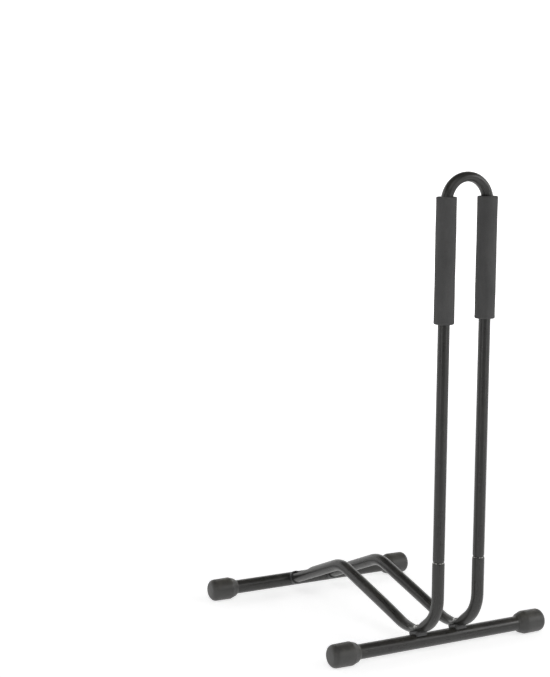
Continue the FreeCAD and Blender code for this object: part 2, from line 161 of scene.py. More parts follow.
class Nodes:
    """Short calls for placing and joining nodes of one tree."""

    def __init__(self, tree):
        self.tree = tree

    def add(self, kind, inputs=None, **settings):
        node = self.tree.nodes.new(kind)
        for name, value in settings.items():
            setattr(node, name, value)
        for name, value in (inputs or {}).items():
            if isinstance(value, bpy.types.NodeSocket):
                self.tree.links.new(value, node.inputs[name])
            else:
                node.inputs[name].default_value = value
        return node

    def noise(self, vector, scale, detail=3.0, roughness=0.5):
        node = self.add("ShaderNodeTexNoise",
                        {"Vector": vector, "Scale": scale, "Detail": detail,
                         "Roughness": roughness})
        return node.outputs["Fac"]

    def stretched(self, vector, factors):
        node = self.add("ShaderNodeMapping", {"Vector": vector, "Scale": factors},
                        vector_type="POINT")
        return node.outputs["Vector"]

    def ramp(self, value, low, high, out_low=0.0, out_high=1.0):
        node = self.add("ShaderNodeMapRange",
                        {"Value": value, "From Min": low, "From Max": high,
                         "To Min": out_low, "To Max": out_high}, clamp=True)
        return node.outputs["Result"]

    def math(self, operation, a, b):
        node = self.add("ShaderNodeMath", {0: a, 1: b}, operation=operation)
        return node.outputs[0]

    def mix_color(self, factor, a, b):
        node = self.add("ShaderNodeMix", data_type="RGBA")
        for name, value in ((0, factor), (6, a), (7, b)):
            if isinstance(value, bpy.types.NodeSocket):
                self.tree.links.new(value, node.inputs[name])
            else:
                node.inputs[name].default_value = value
        return node.outputs[2]


def grain_group():
    """Fine surface grain: a height, and a slow mottling for colour and gloss."""
    tree, source, result = new_group(
        "grain",
        [("Position", "NodeSocketVector", None), ("Grain per metre", "NodeSocketFloat", 900.0),
         ("Mottle per metre", "NodeSocketFloat", 30.0)],
        [("Height", "NodeSocketFloat"), ("Mottle", "NodeSocketFloat")])
    build = Nodes(tree)
    position = source.outputs["Position"]
    fine = build.noise(position, source.outputs["Grain per metre"], 2.0, 0.55)
    slow = build.noise(position, source.outputs["Mottle per metre"], 4.0, 0.6)
    tree.links.new(fine, result.inputs["Height"])
    tree.links.new(build.ramp(slow, 0.3, 0.7), result.inputs["Mottle"])
    return tree


def make_upward_tint_group():
    """Pale tint on faces turned upwards, in noisy patches."""
    tree, source, result = new_group(
        "pale_upward_tint",
        [("Position", "NodeSocketVector", None), ("Amount", "NodeSocketFloat", 0.2)],
        [("Mask", "NodeSocketFloat")])
    build = Nodes(tree)
    facing = build.add("ShaderNodeNewGeometry")
    split = build.add("ShaderNodeSeparateXYZ", {"Vector": facing.outputs["Normal"]})
    up = build.ramp(split.outputs["Z"], 0.2, 1.0)
    patches = build.ramp(build.noise(source.outputs["Position"], 55.0, 5.0, 0.65), 0.35, 0.75)
    amount = build.math("MULTIPLY", up, patches)
    amount = build.math("MULTIPLY", amount, source.outputs["Amount"])
    tree.links.new(amount, result.inputs["Mask"])
    return tree


GRAIN = grain_group()
UPWARD_TINT_GROUP = make_upward_tint_group()


def new_material(name):
    material = bpy.data.materials.new(name)
    material.use_nodes = True
    tree = material.node_tree
    shader = next(node for node in tree.nodes if node.type == "BSDF_PRINCIPLED")
    return material, Nodes(tree), shader


def place_group(build, group, **values):
    node = build.add("ShaderNodeGroup", node_tree=group)
    for name, value in values.items():
        socket = node.inputs[name.replace("_", " ")]
        if isinstance(value, bpy.types.NodeSocket):
            build.tree.links.new(value, socket)
        else:
            socket.default_value = value
    return node


def set_bump(build, shader, height, distance, strength=1.0):
    bump = build.add("ShaderNodeBump",
                     {"Height": height, "Distance": distance, "Strength": strength})
    build.tree.links.new(bump.outputs["Normal"], shader.inputs["Normal"])


def object_position(build):
    return build.add("ShaderNodeTexCoord").outputs["Object"]


def coated_tube_material():
    """Satin black powder coat; lengthwise streaks vary its gloss and are painted into its colour as
    highlight streaks.
    """
    material, build, shader = new_material("satin_black_coat")
    along = build.add("ShaderNodeAttribute", attribute_name="tube").outputs["Vector"]
    position = object_position(build)
    grain = place_group(build, GRAIN, Position=position, Grain_per_metre=1500.0,
                        Mottle_per_metre=38.0)
    sheen_streaks = build.noise(build.stretched(along, (1.0, 1.0, 0.035)), 420.0, 3.0, 0.6)
    sheen_streaks = build.ramp(sheen_streaks, 0.35, 0.68)
    upward_tint = place_group(build, UPWARD_TINT_GROUP, Position=position, Amount=0.16)
    mottle = grain.outputs["Mottle"]
    coat = build.mix_color(mottle, COAT_DARK, COAT_PALE)
    # Painted highlight: pale lengthwise streaks mixed into the coat's colour stand in for the lamps'
    # highlight streaks.
    coat = build.mix_color(build.math("MULTIPLY", sheen_streaks, 0.35), coat, COAT_PAINTED_SHEEN)
    coat = build.mix_color(upward_tint.outputs["Mask"], coat, COAT_UPWARD_TINT)
    # Painted glints: bright patches on the lip of each mouth, where the hoop is pushed in, stand in
    # for the lamps' glints on the rounded lip.
    place = build.add("ShaderNodeSeparateXYZ", {"Vector": along}).outputs["Z"]
    lip = build.math("MULTIPLY", build.ramp(place, -1.9 * MM, -2.3 * MM),
                     build.ramp(place, -3.2 * MM, -2.9 * MM))
    glint_patches = build.ramp(build.noise(position, 260.0, 3.0, 0.6), 0.42, 0.54)
    painted_glint = build.math("MULTIPLY", lip, glint_patches)
    coat = build.mix_color(painted_glint, coat, LIP_GLINT_PAINT)
    build.tree.links.new(coat, shader.inputs["Base Color"])
    gloss = build.ramp(sheen_streaks, 0.0, 1.0, 0.31, 0.22)
    gloss = build.math("ADD", gloss, build.math("MULTIPLY", mottle, 0.07))
    build.tree.links.new(gloss, shader.inputs["Roughness"])
    shader.inputs["Specular IOR Level"].default_value = 0.5
    set_bump(build, shader, grain.outputs["Height"], 0.00006, 0.55)
    return material


def foam_material():
    """Closed-cell foam: matte, finely pored, a little paler where it has been rubbed."""
    material, build, shader = new_material("closed_cell_foam")
    position = object_position(build)
    grain = place_group(build, GRAIN, Position=position, Grain_per_metre=2400.0,
                        Mottle_per_metre=24.0)
    pores = build.add("ShaderNodeTexVoronoi", {"Vector": position, "Scale": 1500.0})
    pits = build.ramp(pores.outputs["Distance"], 0.05, 0.55)
    height = build.math("ADD", build.math("MULTIPLY", pits, 0.65),
                        build.math("MULTIPLY", grain.outputs["Height"], 0.5))
    rub = build.ramp(build.noise(build.stretched(position, (1.0, 1.0, 0.25)), 60.0, 4.0, 0.6),
                     0.45, 0.8)
    foam = build.mix_color(grain.outputs["Mottle"], FOAM_DARK, FOAM_PALE)
    foam = build.mix_color(build.math("MULTIPLY", rub, 0.4), foam, FOAM_RUBBED)
    # Painted shade: the foam is darkened in the pits of its pores, where shade falls.
    foam = build.mix_color(build.math("MULTIPLY", build.math("SUBTRACT", 1.0, pits), 0.5),
                           foam, FOAM_PORE_SHADE)
    upward_tint = place_group(build, UPWARD_TINT_GROUP, Position=position, Amount=0.22)
    foam = build.mix_color(upward_tint.outputs["Mask"], foam, FOAM_UPWARD_TINT)
    build.tree.links.new(foam, shader.inputs["Base Color"])
    build.tree.links.new(build.ramp(rub, 0.0, 1.0, 0.88, 0.74), shader.inputs["Roughness"])
    shader.inputs["Specular IOR Level"].default_value = 0.35
    set_bump(build, shader, height, 0.00022, 0.7)
    return material


def cap_material():
    """Moulded rubber with a fine sandy grain, scuffed where it is handled."""
    material, build, shader = new_material("moulded_rubber")
    position = object_position(build)
    grain = place_group(build, GRAIN, Position=position, Grain_per_metre=1100.0,
                        Mottle_per_metre=45.0)
    scuffs = build.ramp(build.noise(build.stretched(position, (0.3, 1.0, 1.0)), 190.0, 5.0, 0.7),
                        0.56, 0.80)
    rubber = build.mix_color(grain.outputs["Mottle"], RUBBER_DARK, RUBBER_PALE)
    rubber = build.mix_color(build.math("MULTIPLY", scuffs, 0.45), rubber, RUBBER_SCUFF)
    upward_tint = place_group(build, UPWARD_TINT_GROUP, Position=position, Amount=0.32)
    rubber = build.mix_color(upward_tint.outputs["Mask"], rubber, RUBBER_UPWARD_TINT)
    build.tree.links.new(rubber, shader.inputs["Base Color"])
    build.tree.links.new(build.ramp(grain.outputs["Mottle"], 0.0, 1.0, 0.34, 0.52),
                         shader.inputs["Roughness"])
    set_bump(build, shader, grain.outputs["Height"], 0.00022, 0.8)
    return material


def saddle_material():
    """Dark moulded plastic with a slight sheen."""
    material, build, shader = new_material("dark_moulded_plastic")
    position = object_position(build)
    grain = place_group(build, GRAIN, Position=position, Grain_per_metre=1300.0,
                        Mottle_per_metre=80.0)
    plastic = build.mix_color(grain.outputs["Mottle"], PLASTIC_DARK, PLASTIC_PALE)
    build.tree.links.new(plastic, shader.inputs["Base Color"])
    build.tree.links.new(build.ramp(grain.outputs["Mottle"], 0.0, 1.0, 0.38, 0.5),
                         shader.inputs["Roughness"])
    set_bump(build, shader, grain.outputs["Height"], 0.00008, 0.6)
    return material


def fastener_material():
    """Zinc-plated steel, a little dulled and spotted."""
    material, build, shader = new_material("zinc_plated_steel")
    position = object_position(build)
    grain = place_group(build, GRAIN, Position=position, Grain_per_metre=2600.0,
                        Mottle_per_metre=320.0)
    mottle = grain.outputs["Mottle"]
    zinc = build.mix_color(mottle, ZINC_DARK, ZINC_PALE)
    spots = build.ramp(build.noise(position, 900.0, 5.0, 0.7), 0.62, 0.74)
    zinc = build.mix_color(build.math("MULTIPLY", spots, 0.5), zinc, ZINC_SPOT)
    build.tree.links.new(zinc, shader.inputs["Base Color"])
    shader.inputs["Metallic"].default_value = 0.95
    build.tree.links.new(build.ramp(mottle, 0.0, 1.0, 0.26, 0.42), shader.inputs["Roughness"])
    set_bump(build, shader, grain.outputs["Height"], 0.00003, 0.5)
    return material


COAT = coated_tube_material()
FOAM = foam_material()
CAP_RUBBER = cap_material()
SADDLE_PLASTIC = saddle_material()
ZINC = fastener_material()


# ---------------------------------------------------------------- drawing out shapes

def station(centre, direction, side):
    """Placement whose Z runs along the direction and whose X is the side."""
    z = direction.normalized()
    x = side.normalized()
    y = z.cross(x)
    return Matrix((
        (x.x, y.x, z.x, centre.x),
        (x.y, y.y, z.y, centre.y),
        (x.z, y.z, z.z, centre.z),
        (0.0, 0.0, 0.0, 1.0)))


def bent_path(corners, side, step=3.0, turn_step=math.radians(3.0)):
    """Stations along straight lines and round bends, as (distance, placement).

    Each corner is (point, bend radius); the ends have no radius.
    """
    result = []
    along = 0.0
    start = corners[0][0]
    for index in range(1, len(corners)):
        corner, radius = corners[index]
        way_in = (corner - corners[index - 1][0]).normalized()
        touch = 0.0
        if radius:
            way_out = (corners[index + 1][0] - corner).normalized()
            turn = way_in.angle(way_out)
            touch = radius * math.tan(turn / 2)
        first = corner - way_in * touch
        length = (first - start).length
        count = max(1, round(length / step))
        for number in range(count + (0 if radius else 1)):
            here = start + way_in * (length * number / count)
            result.append((along + length * number / count, station(here, way_in, side)))
        along += length
        if radius:
            inward = (way_out - way_in * way_in.dot(way_out)).normalized()
            centre = first + inward * radius
            axis = way_in.cross(way_out).normalized()
            count = max(2, round(turn / turn_step))
            for number in range(count):
                spin = Matrix.Rotation(turn * number / count, 3, axis)
                here = centre + spin @ (first - centre)
                result.append((along + radius * turn * number / count,
                               station(here, spin @ way_in, side)))
            along += radius * turn
            start = corner + way_out * touch
    return result


def round_outline(radius):
    return lambda angle: radius


def hexagon_outline(corner_radius):
    flat = corner_radius * math.cos(math.pi / 6)

    def outline(angle):
        return flat / math.cos((angle % (math.pi / 3)) - math.pi / 6)
    return outline


class Drawn:
    """A shape drawn out ring by ring; each ring is extruded from the one before it."""

    def __init__(self, segments=48):
        self.bm = bmesh.new()
        self.tube = self.bm.verts.layers.float_vector.new("tube")
        self.segments = segments
        self.rings = []
        self.edges = None

    def ring(self, place, outline, along=0.0, rise=None):
        """Next ring, in the placement's XY plane; rise lifts each point by its angle."""
        radius = outline if callable(outline) else round_outline(outline)
        if self.edges is None:
            made = bmesh.ops.create_circle(self.bm, cap_ends=False, radius=1.0,
                                           segments=self.segments, matrix=Matrix.Identity(4))
            verts = made["verts"]
            self.edges = list({edge for vert in verts for edge in vert.link_edges})
        else:
            grown = bmesh.ops.extrude_edge_only(self.bm, edges=self.edges)["geom"]
            new = {item for item in grown if isinstance(item, bmesh.types.BMVert)}
            partner = {}
            for vert in new:
                for edge in vert.link_edges:
                    other = edge.other_vert(vert)
                    if other not in new:
                        partner[other] = vert
            verts = [partner[old] for old in self.rings[-1]]
            self.edges = [item for item in grown if isinstance(item, bmesh.types.BMEdge)
                          and item.verts[0] in new and item.verts[1] in new]
        for number, vert in enumerate(verts):
            angle = math.tau * number / self.segments
            reach = radius(angle)
            height = rise(angle) if rise else 0.0
            vert.co = place @ Vector((reach * math.cos(angle), reach * math.sin(angle), height))
            vert[self.tube] = Vector((reach * math.cos(angle), reach * math.sin(angle),
                                      along)) * MM
        self.rings.append(verts)

    def close(self, which):
        """Face over the first (0) or the last (-1) ring."""
        ring = self.rings[which]
        inside = set(ring)
        edges = {edge for vert in ring for edge in vert.link_edges
                 if edge.is_boundary and edge.other_vert(vert) in inside}
        bmesh.ops.contextual_create(self.bm, geom=list(edges))


def finish_piece(bm, name, material, body, stands_for=(), sharp=38.0):
    """Mesh in metres from a shape in millimetres, riding on its body."""
    bmesh.ops.recalc_face_normals(bm, faces=bm.faces)
    bmesh.ops.scale(bm, vec=(MM, MM, MM), verts=bm.verts)
    mesh = bpy.data.meshes.new(name)
    bm.to_mesh(mesh)
    bm.free()
    mesh.materials.append(material)
    mesh.polygons.foreach_set("use_smooth", [True] * len(mesh.polygons))
    mesh.set_sharp_from_angle(angle=math.radians(sharp))
    piece = bpy.data.objects.new(name, mesh)
    scene.collection.objects.link(piece)
    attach(piece, body)
    if stands_for:
        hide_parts(*stands_for)
    return piece


def soft_step(value):
    value = min(1.0, max(0.0, value))
    return value * value * (3.0 - 2.0 * value)


# ---------------------------------------------------------------- hoop

def flattened(height):
    """Outline of the hoop's tube, which bending has flattened towards the top of the arch."""
    share = max(0.0, (height - (HOOP_TOP - LEG_X)) / LEG_X)
    wide = HOOP_R * (1.0 + 0.07 * share)
    thin = HOOP_R * (1.0 - 0.16 * share)

    def outline(angle):
        return 1.0 / math.hypot(math.cos(angle) / wide, math.sin(angle) / thin)
    return outline


def make_hoop():
    """One tube: plug, neck, leg, arch, and down again on the other side."""
    shoulder = MOUTH_Z + NECK_HEIGHT
    side = Vector((0.0, 1.0, 0.0))
    path = bent_path([
        (Vector((-LEG_X, LEG_Y, shoulder)), None),
        (Vector((-LEG_X, LEG_Y, HOOP_TOP)), LEG_X),
        (Vector((LEG_X, LEG_Y, HOOP_TOP)), LEG_X),
        (Vector((LEG_X, LEG_Y, shoulder)), None),
    ], side, step=12.0, turn_step=math.radians(3.0))
    shape = Drawn(48)
    # Rings of the leg's end, from inside the plug outwards: (height over the mouth, radius).
    end_rings = [
        (20.0, PLUG_R - HOOP_WALL),
        (-PLUG_DEPTH, PLUG_R - HOOP_WALL),
        (-PLUG_DEPTH, PLUG_R - 1.0),
        (-PLUG_DEPTH + PLUG_TAPER, PLUG_R),
        (-0.1, PLUG_R),
        (0.0, NECK_R - 0.2),
        (0.5, NECK_R),
        (1.3, NECK_R + 0.42),
        (2.2, HOOP_R - 0.22),
        (3.4, HOOP_R - 0.03),
    ]
    up = Vector((0.0, 0.0, 1.0))
    for height, radius in end_rings:
        foot = Vector((-LEG_X, LEG_Y, MOUTH_Z + height))
        shape.ring(station(foot, up, side), radius, along=height)
    for along, place in path:
        if along < 2.0 or along > path[-1][0] - 2.0:
            continue
        shape.ring(place, flattened(place.translation.z), along=along)
    for height, radius in reversed(end_rings):
        foot = Vector((LEG_X, LEG_Y, MOUTH_Z + height))
        shape.ring(station(foot, -up, side), radius, along=path[-1][0] - height)
    shape.close(0)
    shape.close(-1)
    finish_piece(shape.bm, "hoop_tube", COAT, "upright", ["hoop"])


# ---------------------------------------------------------------- rails

def joint_axes():
    """Unit directions of the front and the rear joint: from the foot's axis to the bolt head."""
    front = Vector((0.0, FRONT_SLOPE, 1.0)).normalized()
    run = Vector((0.0, REAR_Y - CREST_Y, FOOT_Z - CREST_Z)).normalized()
    return front, -run


def rail_corners(x):
    """Corners of the rail's path; it stands on the saddle and aims at the rear foot's axis."""
    front_axis, rear_axis = joint_axes()
    stand = Vector((x, FRONT_Y, FOOT_Z)) + front_axis * (FOOT_R + SADDLE_CROWN + RAIL_R)
    front_z = stand.z + FRONT_SLOPE * (stand.y - LEG_Y)
    bottom_y = (front_z + FRONT_SLOPE * LEG_Y - CREST_Z + RAMP_SLOPE * CREST_Y) \
        / (RAMP_SLOPE + FRONT_SLOPE)
    bottom_z = CREST_Z - RAMP_SLOPE * (CREST_Y - bottom_y)
    end = Vector((x, REAR_Y, FOOT_Z)) + rear_axis * (FOOT_R + SADDLE_CROWN)
    return [
        (Vector((x, LEG_Y, MOUTH_Z - LIP_HEIGHT)), None),
        (Vector((x, LEG_Y, front_z)), FRONT_BEND_R),
        (Vector((x, bottom_y, bottom_z)), BOTTOM_BEND_R),
        (Vector((x, CREST_Y, CREST_Z)), CREST_BEND_R),
        (end, None),
    ], stand


def pressed(height, amount):
    """Height over the tube's underside after its top wall is pressed down."""
    full = 2.0 * RAIL_R
    settled = PRESSED_HEIGHT * (1.0 - math.exp(-height / PRESSED_HEIGHT)) \
        / (1.0 - math.exp(-full / PRESSED_HEIGHT))
    return height + (settled - height) * amount


def press_amount(distance):
    """How far the top wall is pressed, by the distance past the front bolt."""
    near = math.exp(-(distance / PRESS_REACH) ** 2)
    if distance < 0.0:
        return near
    far = math.exp(-(distance / FADE_REACH) ** 2)
    return (1.0 - FADE_SHARE) * near + FADE_SHARE * far


def press_front(shape, first, path, stand):
    """Flatten the tube at the front bolt and let the flat fade out along the ramp."""
    bolt_along = min(path, key=lambda item: (item[1].translation - stand).length)[0]
    for ring, (along, place) in zip(shape.rings[first:], path):
        amount = press_amount(along - bolt_along)
        if amount < 0.003:
            continue
        back = place.inverted()
        for vert in ring:
            point = back @ vert.co
            height = pressed(RAIL_R - point.y, amount)
            middle = 1.0 - abs(point.x) / RAIL_R
            dish = DISH_DEPTH * amount * soft_step(middle * 1.6) * soft_step(height / 7.0 - 0.35)
            point.y = RAIL_R - height + dish
            point.x *= 1.0 + PRESS_WIDENING * amount
            vert.co = place @ point


def press_trough(shape, first, path):
    """Fold the top wall of the rear end down into a trough that is open upwards."""
    end = path[-1][0]
    wrap = math.asin((TROUGH_R + FOLD_GAP) / RAIL_R)
    wall = RAIL_R * math.cos(wrap)
    inner = TROUGH_R - FOLD_GAP
    half_floor = inner * math.pi / 2
    for ring, (along, place) in zip(shape.rings[first:], path):
        left = end - along
        amount = soft_step((TROUGH_START - left) / TROUGH_FADE) * soft_step((left - TROUGH_END) / 1.4)
        if amount <= 0.0:
            continue
        back = place.inverted()
        for vert in ring:
            point = back @ vert.co
            from_top = math.atan2(point.x, -point.y)
            if abs(from_top) > wrap:
                continue
            # Way along the U, from the middle of its floor up to the rim of the wall.
            way = abs(from_top) / wrap * (half_floor + wall)
            if way < half_floor:
                across = inner * math.sin(way / inner)
                folded = Vector((across, inner * math.cos(way / inner), 0.0))
            else:
                folded = Vector((inner, half_floor - way, 0.0))
            folded.x = math.copysign(folded.x, from_top)
            point += (folded - point) * amount
            vert.co = place @ point


def cope_end(shape, first, path):
    """Curve the rear end so that it fits the front of the foot tube."""
    end = path[-1][0]
    for ring, (along, place) in zip(shape.rings[first:], path):
        share = soft_step(1.0 - (end - along) / COPE_LENGTH)
        if share <= 0.0:
            continue
        back = place.inverted()
        for vert in ring:
            point = back @ vert.co
            rest = FOOT_R + SADDLE_CROWN
            point.z += share * (rest - math.sqrt(max(0.0, rest ** 2 - point.y ** 2)))
            vert.co = place @ point


def make_rail(side, x):
    across = Vector((1.0, 0.0, 0.0))
    down = Vector((0.0, 0.0, -1.0))
    corners, stand = rail_corners(x)
    path = bent_path(corners, across, step=2.5, turn_step=math.radians(1.8))
    shape = Drawn(64)
    # The mouth, from inside the socket outwards: (depth under the mouth, radius).
    mouth_rings = [
        (SOCKET_DEPTH, BORE_R),
        (0.25, BORE_R),
        (0.0, BORE_R + 0.12),
        (0.0, BORE_R + 0.25),
        (0.25, BORE_R + 0.68),
        (0.8, RAIL_R - 0.48),
        (1.6, RAIL_R - 0.14),
    ]
    for depth, radius in mouth_rings:
        here = Vector((x, LEG_Y, MOUTH_Z - depth))
        shape.ring(station(here, down, across), radius, along=depth - LIP_HEIGHT)
    first = len(shape.rings)
    for along, place in path:
        shape.ring(place, RAIL_R, along=along)
    press_front(shape, first, path, stand)
    press_trough(shape, first, path)
    cope_end(shape, first, path)
    shape.close(0)
    shape.close(-1)
    finish_piece(shape.bm, "rail_tube_" + side, COAT, "base",
                 ["rail_" + side], sharp=50.0)


# ---------------------------------------------------------------- feet, caps, sleeves

def draw_profile(profile, place, segments):
    """Rings round the placement's Z; the profile is (distance, radius or outline) pairs."""
    shape = Drawn(segments)
    for distance, radius in profile:
        here = place @ Matrix.Translation((0.0, 0.0, distance))
        shape.ring(here, radius, along=distance)
    return shape


def rounded_edge(start, base, corner_r, steps):
    """Quarter round of a profile: from the face at the start out to the barrel."""
    angles = [math.pi / 2 * number / steps for number in range(steps + 1)]
    return [(start + corner_r - corner_r * math.cos(angle), base + corner_r * math.sin(angle))
            for angle in angles]


def make_foot_tube(end, y):
    half = RACK_WIDTH / 2 - CAP_WALL
    place = station(Vector((-half, y, FOOT_Z)), Vector((1.0, 0.0, 0.0)), Vector((0.0, 1.0, 0.0)))
    inner = FOOT_BORE_R
    edge = 0.3
    length = 2.0 * half
    steps = 48
    profile = [(length / 2, inner), (0.0, inner), (0.0, FOOT_R - edge), (edge, FOOT_R)]
    profile += [(edge + (length - 2 * edge) * n / steps, FOOT_R) for n in range(1, steps)]
    profile += [(length - edge, FOOT_R), (length, FOOT_R - edge), (length, inner),
                (length / 2, inner)]
    shape = draw_profile(profile, place, 72)
    bmesh.ops.remove_doubles(shape.bm, verts=shape.bm.verts, dist=0.001)
    finish_piece(shape.bm, end + "_foot_bar", COAT, "base",
                 [end + "_foot_tube"])


def stand_on_floor(shape):
    """Flat worn under a cap where it rests on the floor."""
    for vert in shape.bm.verts:
        vert.co.z = max(vert.co.z, 0.0)


def make_cap(end, side, direction, y):
    """Moulded cap: flat end with a wide round, barrel, shoulder and a lip that grips the tube."""
    tip = Vector((direction * RACK_WIDTH / 2, y, FOOT_Z))
    place = station(tip, Vector((-direction, 0.0, 0.0)), Vector((0.0, 1.0, 0.0)))
    barrel = CAP_LENGTH - CAP_SHOULDER
    profile = [(CAP_FACE, 0.02), (CAP_FACE + 0.05, 3.0), (CAP_FACE + 0.2, 6.0)]
    profile += rounded_edge(CAP_FACE + 0.4, CAP_R - CAP_ROUND - 0.3, CAP_ROUND, 12)
    profile += [(barrel * 0.55, CAP_R - 0.2), (barrel * 0.85, CAP_R - 0.05), (barrel - 1.2, CAP_R)]
    profile += [(barrel - 0.2, CAP_R - 0.12), (barrel + 0.8, CAP_R - 0.45),
                (barrel + 1.6, CAP_R - 0.85)]
    profile += [(CAP_LENGTH - 7.0, 14.9), (CAP_LENGTH - 6.0, 14.25), (CAP_LENGTH - 5.2, 13.4),
                (CAP_LENGTH - 4.6, 12.7), (CAP_LENGTH - 4.0, 12.2), (CAP_LENGTH - 3.2, 11.85),
                (CAP_LENGTH - 2.2, 11.6), (CAP_LENGTH - 2.0, 11.5), (CAP_LENGTH - 10.0, 11.45)]
    shape = draw_profile(profile, place, 72)
    shape.close(-1)
    stand_on_floor(shape)
    finish_piece(shape.bm, "rubber_cap_%s_%s" % (end, side), CAP_RUBBER, "base",
                 ["cap_%s_%s" % (end, side)], sharp=60.0)


def make_sleeve(side, x):
    """Foam sleeve pushed on the leg, its cut ends slightly rolled over."""
    bottom, top = SLEEVES[side]
    length = top - bottom
    place = station(Vector((x, LEG_Y, bottom)), Vector((0.0, 0.0, 1.0)), Vector((0.0, 1.0, 0.0)))
    bore = HOOP_R + 0.05
    roll = 1.9
    cut_end = [(6.0, bore), (0.9, bore), (0.35, bore + 0.45), (0.12, bore + 1.5),
               (0.0, SLEEVE_R - roll - 0.6)]
    cut_end += rounded_edge(0.0, SLEEVE_R - roll, roll, 6)
    profile = list(cut_end)
    steps = 60
    for number in range(1, steps):
        share = number / steps
        distance = roll + (length - 2 * roll) * share
        wave = 0.10 * math.sin(share * 9.0 + x) + 0.06 * math.sin(share * 23.0 + 2.0 * x)
        profile.append((distance, SLEEVE_R - 0.14 + wave))
    profile += [(length - distance, radius) for distance, radius in reversed(cut_end)]
    shape = draw_profile(profile, place, 72)
    piece = finish_piece(shape.bm, "foam_sleeve_" + side, FOAM, "upright",
                         ["sleeve_" + side], sharp=70.0)


# ---------------------------------------------------------------- fasteners

def join_places(end):
    """Placements of the two joints of one foot tube; Z points to the bolt head."""
    front_axis, rear_axis = joint_axes()
    axis = front_axis if end == "front" else rear_axis
    y = FRONT_Y if end == "front" else REAR_Y
    return [station(Vector((x, y, FOOT_Z)), axis, Vector((1.0, 0.0, 0.0)))
            for x in SIDES.values()]


def join_shapes(shapes):
    """One shape of several, joined into the first."""
    whole = bmesh.new()
    for shape in shapes:
        part = bpy.data.meshes.new("part")
        bmesh.ops.recalc_face_normals(shape.bm, faces=shape.bm.faces)
        shape.bm.to_mesh(part)
        shape.bm.free()
        whole.from_mesh(part)
        bpy.data.meshes.remove(part)
    return whole


def draw_bolt(place, seat):
    """Button-head bolt with a hexagon key hole, from its tip up to its head on the washer."""
    tip = NUT_SEAT - NUT_HEIGHT - BOLT_TIP
    head = seat + WASHER_HEIGHT
    flat = KEY_R * 0.95
    top = head + HEAD_HEIGHT
    profile = [(tip, BOLT_R - 0.7), (tip + 0.7, BOLT_R), (head, BOLT_R), (head, HEAD_R - 0.35),
               (head + 0.3, HEAD_R), (head + 1.5, HEAD_R - 0.1), (head + 2.4, HEAD_R - 0.7),
               (head + 3.1, HEAD_R - 1.7), (top, KEY_R + 0.35),
               (top - 0.12, hexagon_outline(flat)), (top - KEY_DEPTH, hexagon_outline(flat))]
    shape = draw_profile(profile, place, 48)
    shape.close(0)
    shape.close(-1)
    return shape


def draw_washer(place, low):
    """Flat ring with broken edges."""
    edge = 0.12
    inner = BOLT_R + 0.2
    profile = [(0.0, inner), (WASHER_HEIGHT - edge, inner), (WASHER_HEIGHT, inner + edge),
               (WASHER_HEIGHT, WASHER_R - edge), (WASHER_HEIGHT - edge, WASHER_R),
               (0.0, WASHER_R), (0.0, inner)]
    shape = draw_profile(profile, place @ Matrix.Translation((0.0, 0.0, low)), 64)
    bmesh.ops.remove_doubles(shape.bm, verts=shape.bm.verts, dist=0.001)
    return shape


def make_fasteners(end, seat):
    """Bolts and washers of one foot bar; what the tube hides keeps the solids' own shape."""
    bolts = [draw_bolt(place, seat) for place in join_places(end)]
    washers = [draw_washer(place, seat) for place in join_places(end)]
    for kind, shapes in (("bolts", bolts), ("washers", washers)):
        finish_piece(join_shapes(shapes), "steel_%s_%s" % (end, kind), ZINC, "base",
                     ["%s_%s" % (end, kind)])
    for kind in ("curved_washers", "nuts"):
        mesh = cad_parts["%s_%s" % (end, kind)].data
        mesh.materials.clear()
        mesh.materials.append(ZINC)


# ---------------------------------------------------------------- saddles

def make_saddle(side, place):
    """Moulded block, hollowed below to the foot tube and above to the rail."""
    half_width = SADDLE_WIDTH / 2
    half_length = SADDLE_LENGTH / 2
    bm = bmesh.new()
    bmesh.ops.create_cube(bm, size=2.0)
    bmesh.ops.scale(bm, vec=(half_width, half_length, 1.0), verts=bm.verts)
    bmesh.ops.bevel(bm, geom=[edge for edge in bm.edges
                              if abs(edge.verts[0].co.z - edge.verts[1].co.z) > 1.0],
                    offset=1.6, segments=4, profile=0.5, affect="EDGES", material=-1)
    bmesh.ops.subdivide_edges(bm, edges=bm.edges[:], cuts=1, use_grid_fill=True)
    count = 14
    for axis, half in ((Vector((1.0, 0.0, 0.0)), half_width),
                       (Vector((0.0, 1.0, 0.0)), half_length)):
        for number in range(1, count):
            cut = axis * (half * (2.0 * number / count - 1.0))
            bmesh.ops.bisect_plane(bm, geom=bm.verts[:] + bm.edges[:] + bm.faces[:], dist=0.0001,
                                   plane_co=cut, plane_no=axis)
    for vert in bm.verts:
        x, t, level = vert.co
        under = math.sqrt(max(0.0, FOOT_R ** 2 - t ** 2))
        under = max(under, FOOT_R - 4.4)
        reach = min(abs(x), RAIL_R)
        over = FOOT_R + SADDLE_CROWN + RAIL_R - math.sqrt(RAIL_R ** 2 - reach ** 2)
        over = min(over, FOOT_R + SADDLE_CROWN + 3.0)
        share = (level + 1.0) / 2.0
        vert.co.z = under + 0.02 + (over - under - 0.04) * share
    bmesh.ops.transform(bm, matrix=place, verts=bm.verts)
    piece = finish_piece(bm, "rail_saddle_" + side, SADDLE_PLASTIC, "base",
                         ["saddle_" + side], sharp=35.0)
    bevel = piece.modifiers.new("softened_edges", "BEVEL")
    bevel.width = 0.45 * MM
    bevel.segments = 2
    bevel.limit_method = "ANGLE"
    bevel.angle_limit = math.radians(40.0)
    return piece


